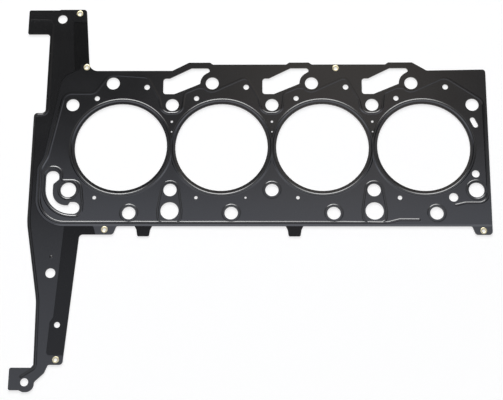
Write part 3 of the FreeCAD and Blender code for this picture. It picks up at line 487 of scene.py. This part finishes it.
def copied_shape(node):
    """The mesh of a CAD node as one joined skin."""
    shape = bmesh.new()
    shape.from_mesh(NODES[node].data)
    bmesh.ops.remove_doubles(shape, verts=shape.verts, dist=JOINED)
    return shape


def finish_piece(name, shape, material, node):
    """Object from a finished shape, smooth but for its sharp edges, in place of a CAD node."""
    for face in shape.faces:
        face.smooth = True
        face.material_index = 0
    for edge in shape.edges:
        kinds = {abs(face.normal.z) > FLAT_NORMAL for face in edge.link_faces}
        edge.smooth = edge.calc_face_angle(math.pi) < SHARP_ANGLE and len(kinds) == 1
    mesh = bpy.data.meshes.new(name)
    shape.to_mesh(mesh)
    shape.free()
    mesh.materials.clear()
    mesh.materials.append(material)
    piece = bpy.data.objects.new(name, mesh)
    bpy.context.scene.collection.objects.link(piece)
    even = piece.modifiers.new("even_normals", "WEIGHTED_NORMAL")
    even.keep_sharp = True
    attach(piece, "root")
    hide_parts(node)
    return piece


def bead_sheet(name, node, material, side):
    """A sheet with rounded beads. Side is 1 where the beads rise and -1 where they hang."""
    shape = copied_shape(node)
    outer_foot = STACK if side > 0 else 0.0
    rise = BEAD_HEIGHT * side
    moved = slice_slopes(shape, side, outer_foot, outer_foot + rise)
    inner_foot = outer_foot - SHEET * side
    moved += slice_slopes(shape, -side, inner_foot, inner_foot + rise)
    piece = finish_piece(name, shape, material, node)
    print("%-18s %6d faces, %5d points on beads" % (name, len(piece.data.polygons), moved))


bead_sheet("upper_main_sheet", "upper_bead_sheet", sheet_coating, 1)
bead_sheet("upper_wing_sheet", "wing_upper_sheet", wing_coating, 1)
bead_sheet("lower_main_sheet", "lower_bead_sheet", sheet_coating, -1)
bead_sheet("lower_wing_sheet", "wing_lower_sheet", wing_coating, -1)

# %% [markdown]
# ## Rolled eyelets
# An open eyelet is a short tube whose ends are rolled over the stack. A flat washer shape would look like a
# sticker, because the roll is what catches the light. Its section is drawn once, as half a turn over each
# lip.

# %% Eyelet sizes and section
EYELET_BORE = 1.55 * MM
EYELET_WALL = 0.45 * MM
EYELET_HEAD = 3.2 * MM
THROAT_HEIGHT = 0.75 * STACK
LIP_HEIGHT = 0.27 * MM
LIP_FULLNESS = 0.6
LIP_STEPS = 8
TURN_STEPS = 40


def eyelet_section():
    """Points of the section above mid height, from the bore over the lip to the barrel's outside."""
    reach = EYELET_HEAD - EYELET_BORE
    points = [(EYELET_BORE, THROAT_HEIGHT)]
    for step in range(LIP_STEPS + 1):
        angle = math.pi * step / LIP_STEPS
        out = EYELET_BORE + reach * (1 - math.cos(angle)) / 2
        points.append((out, STACK + LIP_HEIGHT * math.sin(angle) ** LIP_FULLNESS))
    points.append((EYELET_BORE + EYELET_WALL, STACK))
    return points


print("eyelet section of", len(eyelet_section()), "points above mid height")

# %% [markdown]
# The places come from the CAD part. Its six eyelets are one node, so the mesh is parted into islands of
# joined points, and the middle of an island's box is the axis of one eyelet.

# %% Places of the eyelets


def round_places(node):
    """Centres of the separate round solids in a CAD node."""
    shape = copied_shape(node)
    waiting = set(shape.verts)
    centres = []
    while waiting:
        island, edge_of_island = set(), [waiting.pop()]
        while edge_of_island:
            vert = edge_of_island.pop()
            island.add(vert)
            linked = {edge.other_vert(vert) for edge in vert.link_edges} & waiting
            waiting -= linked
            edge_of_island += linked
        xs = [vert.co.x for vert in island]
        ys = [vert.co.y for vert in island]
        centres.append(Vector(((min(xs) + max(xs)) / 2, (min(ys) + max(ys)) / 2, 0)))
    shape.free()
    return sorted(centres, key=lambda centre: (round(centre.x, 4), round(centre.y, 4)))


eyelet_centres = round_places("eyelets")
print("eyelets at mm:", [(round(spot.x / MM, 1), round(spot.y / MM, 1)) for spot in eyelet_centres])

# %% [markdown]
# The section and its mirror image below close into one outline, which is spun about each axis.

# %% Rolled eyelets


def eyelet_shape(centres):
    """All the eyelets: the section and its mirror image below, spun about each centre."""
    upper = eyelet_section()
    section = upper + [(radius, STACK - height) for radius, height in reversed(upper)]
    shape = bmesh.new()
    for centre in centres:
        verts = [shape.verts.new(centre + Vector((radius, 0, height))) for radius, height in section]
        edges = [shape.edges.new(pair) for pair in zip(verts, verts[1:] + verts[:1])]
        bmesh.ops.spin(
            shape, geom=verts + edges, cent=centre, axis=UP, angle=math.tau, steps=TURN_STEPS,
            use_merge=True)
    bmesh.ops.remove_doubles(shape, verts=shape.verts, dist=JOINED)
    bmesh.ops.recalc_face_normals(shape, faces=shape.faces)
    return shape


eyelets = finish_piece(
    "rolled_eyelets", eyelet_shape(eyelet_centres), eyelet_brass, "eyelets")
print("rolled", len(eyelet_centres), "eyelets with", len(eyelets.data.polygons), "faces")

# %% [markdown]
# ## Floor
# The gasket lies on white. Light that makes a plain floor look white would burn out the beads, so the floor
# is grey paint for the lamps, and adds light of its own only for rays from the camera, mirrors and glass.
# The shadow under the gasket stays, because it is in the part that the lamps and the room light.

# %% Floor
FLOOR_HALF = 6.0
FLOOR_GAP = 0.02 * MM
FLOOR_TONE = (0.4, 0.4, 0.4, 1)
FLOOR_GLOW = (1, 1, 1, 1)
FLOOR_LIFT = 0.72

floor_shape = bmesh.new()
bmesh.ops.create_grid(floor_shape, x_segments=2, y_segments=2, size=FLOOR_HALF)
bmesh.ops.translate(floor_shape, verts=floor_shape.verts, vec=(0, 0, CAD_BOX[0][2] - FLOOR_GAP))
floor_mesh = bpy.data.meshes.new("floor")
floor_shape.to_mesh(floor_mesh)
floor_shape.free()
floor = bpy.data.objects.new("floor", floor_mesh)
bpy.context.scene.collection.objects.link(floor)
floor_paint, tree, shader = start_material(
    "floor_paint", Base_Color=FLOOR_TONE, Roughness=0.9, Specular_IOR_Level=0.1, Emission_Color=FLOOR_GLOW)
rays = add_node(tree, "ShaderNodeLightPath")
seen = add_node(tree, "ShaderNodeMath", operation="MAXIMUM")
seen_all = add_node(tree, "ShaderNodeMath", operation="MAXIMUM")
lift = add_node(tree, "ShaderNodeMath", operation="MULTIPLY")
lift.inputs[1].default_value = FLOOR_LIFT
tree.links.new(rays.outputs["Is Camera Ray"], seen.inputs[0])
tree.links.new(rays.outputs["Is Glossy Ray"], seen.inputs[1])
tree.links.new(seen.outputs[0], seen_all.inputs[0])
tree.links.new(rays.outputs["Is Transmission Ray"], seen_all.inputs[1])
tree.links.new(seen_all.outputs[0], lift.inputs[0])
tree.links.new(lift.outputs[0], shader.inputs["Emission Strength"])
floor_mesh.materials.append(floor_paint)
print("floor", 2 * FLOOR_HALF, "m wide, at", round(floor_mesh.vertices[0].co.z / MM, 2), "mm")

# %% [markdown]
# ## Light
# The coating is a soft mirror that lies flat, so what it mirrors is the room, not the lamps. The photograph
# hints at that room. The slopes of the beads that lean back are bright and start to shine at one angle, so
# a bright window band stands behind, up to about 50 degrees. The walls beside it and in front are dim. The
# ceiling is brightest straight overhead and fades to dark behind, which is why the sheet goes from near
# black at the back to grey in front. A small warm glow lies in the dark part. The tones were chosen until
# the render came close to the photograph. The world is worked out from the direction alone, so each view
# sees the same room.

# %% Tones of the room
WALL_TONES = (
    (0.0, (1.0, 1.0, 1.0)), (0.3, (2.0, 2.0, 2.0)), (0.42, (6.6, 6.6, 6.6)), (0.75, (6.6, 6.6, 6.6)),
    (0.8, (0.3, 0.3, 0.3)), (0.83, (0.11, 0.11, 0.115)), (1.0, (0.12, 0.12, 0.13)))
WALL_BACKWARD = (-0.1, 0.45)
FRONT_WALL_SHARE = 0.1
WINDOW_SIDEWAYS = (0.08, 0.36)
SIDE_WALL_SHARE = 0.08
CEILING_TONES = (
    (0.0, (0.25, 0.25, 0.26)), (0.12, (0.3, 0.3, 0.32)), (0.35, (0.6, 0.61, 0.66)), (0.56, (1.4, 1.45, 1.6)),
    (0.66, (1.05, 1.1, 1.25)), (0.77, (0.74, 0.78, 0.9)), (0.81, (0.68, 0.71, 0.82)),
    (0.835, (0.48, 0.5, 0.57)), (0.87, (0.09, 0.09, 0.1)), (1.0, (0.0, 0.0, 0.0)))
CEILING_Y = (-0.4, 0.45)
CEILING_EDGE = (0.87, 0.93)
GLOW_PLACE = (0.06, 0.42, 0.905)
GLOW_SIZE = 0.2
GLOW_TONE = (0.38, 0.335, 0.29)
brightest = max(tone_value[0] for _, tone_value in WALL_TONES)
ceiling_brightest = max(tone_value[2] for _, tone_value in CEILING_TONES)
print("window tone", brightest, "ceiling tone", ceiling_brightest)

# %% [markdown]
# A ramp's colours end at 1, but a window is brighter than that. So each ramp holds shares of its brightest
# tone, and is scaled up again afterwards.

# %% World and its ramps
world = bpy.data.worlds.new("studio")
bpy.context.scene.world = world
world.use_nodes = True
sky = world.node_tree


def tone_ramp(tree, tones, highest):
    """Ramp through tones, given as shares of the highest one, because a ramp's colours end at 1."""
    node = add_node(tree, "ShaderNodeValToRGB")
    ramp = node.color_ramp
    while len(ramp.elements) < len(tones):
        ramp.elements.new(0.5)
    for element, (position, tone_value) in zip(ramp.elements, tones):
        element.position = position
        element.color = (*[part / highest for part in tone_value], 1)
    return node


direction = add_node(sky, "ShaderNodeTexCoord")
split = add_node(sky, "ShaderNodeSeparateXYZ")
sky.links.new(direction.outputs["Generated"], split.inputs["Vector"])
print("world", world.name, "reads the direction")

# %% [markdown]
# The walls take their tone from the height of the direction. That is scaled down towards the front, and to
# both sides of the window.

# %% Walls with the window
walls = tone_ramp(sky, WALL_TONES, brightest)
wall_light = add_node(sky, "ShaderNodeVectorMath", operation="SCALE")
backward = add_node(
    sky, "ShaderNodeMapRange", interpolation_type="SMOOTHSTEP", From_Min=WALL_BACKWARD[0],
    From_Max=WALL_BACKWARD[1])
backward.inputs["To Min"].default_value = FRONT_WALL_SHARE * brightest
backward.inputs["To Max"].default_value = brightest
sideways = add_node(sky, "ShaderNodeMath", operation="ABSOLUTE")
beside = add_node(
    sky, "ShaderNodeMapRange", interpolation_type="SMOOTHSTEP", From_Min=WINDOW_SIDEWAYS[0],
    From_Max=WINDOW_SIDEWAYS[1], To_Min=1.0, To_Max=SIDE_WALL_SHARE)
wall_scale = add_node(sky, "ShaderNodeMath", operation="MULTIPLY")
sky.links.new(split.outputs["Z"], walls.inputs["Fac"])
sky.links.new(walls.outputs["Color"], wall_light.inputs[0])
sky.links.new(split.outputs["Y"], backward.inputs["Value"])
sky.links.new(split.outputs["X"], sideways.inputs[0])
sky.links.new(sideways.outputs[0], beside.inputs["Value"])
sky.links.new(backward.outputs["Result"], wall_scale.inputs[0])
sky.links.new(beside.outputs["Result"], wall_scale.inputs[1])
sky.links.new(wall_scale.outputs[0], wall_light.inputs["Scale"])
print("wall ramp of", len(walls.color_ramp.elements), "tones")

# %% [markdown]
# The ceiling takes its tone from how far back the direction points, and it fades in above the walls.

# %% Ceiling
along = add_node(sky, "ShaderNodeMapRange", From_Min=CEILING_Y[0], From_Max=CEILING_Y[1])
ceiling = tone_ramp(sky, CEILING_TONES, ceiling_brightest)
overhead = add_node(sky, "ShaderNodeMapRange", interpolation_type="SMOOTHSTEP")
overhead.inputs["From Min"].default_value = CEILING_EDGE[0]
overhead.inputs["From Max"].default_value = CEILING_EDGE[1]
overhead.inputs["To Max"].default_value = ceiling_brightest
ceiling_light = add_node(sky, "ShaderNodeVectorMath", operation="SCALE")
sky.links.new(split.outputs["Y"], along.inputs["Value"])
sky.links.new(split.outputs["Z"], overhead.inputs["Value"])
sky.links.new(along.outputs["Result"], ceiling.inputs["Fac"])
sky.links.new(ceiling.outputs["Color"], ceiling_light.inputs[0])
sky.links.new(overhead.outputs["Result"], ceiling_light.inputs["Scale"])
print("ceiling ramp of", len(ceiling.color_ramp.elements), "tones")

# %% [markdown]
# The glow is a soft round spot. The three lights are added up, because each of them is dark where the others
# rule.

# %% Glow, and the sum of the room
away = add_node(sky, "ShaderNodeVectorMath", operation="DISTANCE")
away.inputs[1].default_value = GLOW_PLACE
glow = add_node(
    sky, "ShaderNodeMapRange", interpolation_type="SMOOTHSTEP", From_Max=GLOW_SIZE, To_Min=1.0, To_Max=0.0)
glow_light = add_node(sky, "ShaderNodeVectorMath", operation="SCALE")
glow_light.inputs[0].default_value = GLOW_TONE
room = add_node(sky, "ShaderNodeVectorMath", operation="ADD")
lit_room = add_node(sky, "ShaderNodeVectorMath", operation="ADD")
sky.links.new(direction.outputs["Generated"], away.inputs[0])
sky.links.new(away.outputs["Value"], glow.inputs["Value"])
sky.links.new(glow.outputs["Result"], glow_light.inputs["Scale"])
sky.links.new(wall_light.outputs["Vector"], room.inputs[0])
sky.links.new(ceiling_light.outputs["Vector"], room.inputs[1])
sky.links.new(room.outputs["Vector"], lit_room.inputs[0])
sky.links.new(glow_light.outputs["Vector"], lit_room.inputs[1])
sky.links.new(lit_room.outputs["Vector"], sky.nodes["Background"].inputs["Color"])
print("room of", len(sky.nodes), "nodes")

# %% [markdown]
# ## Lamp
# The room lights the gasket from many sides, which leaves its shadow soft. One soft box behind it, about 30
# degrees up and a little to the left, adds a faint edge.

# %% Lamp
SOFT_BOX_PLACE = (-0.5, 1.7, 1.05)
SOFT_BOX_SIZE = 0.7
SOFT_BOX_WATTS = 9.0


def soft_lamp(name, place, target, size, watts):
    """Square soft box that faces a point."""
    light = bpy.data.lights.new(name, "AREA")
    light.size = size
    light.energy = watts
    lamp = bpy.data.objects.new(name, light)
    lamp.location = place
    lamp.rotation_euler = (Vector(target) - Vector(place)).to_track_quat("-Z", "Y").to_euler()
    bpy.context.scene.collection.objects.link(lamp)
    return lamp


soft_box = soft_lamp(
    "back_soft_box", place=SOFT_BOX_PLACE, target=(0, 0, 0), size=SOFT_BOX_SIZE, watts=SOFT_BOX_WATTS)
print("lamp:", soft_box.name, "of", soft_box.data.energy, "W")
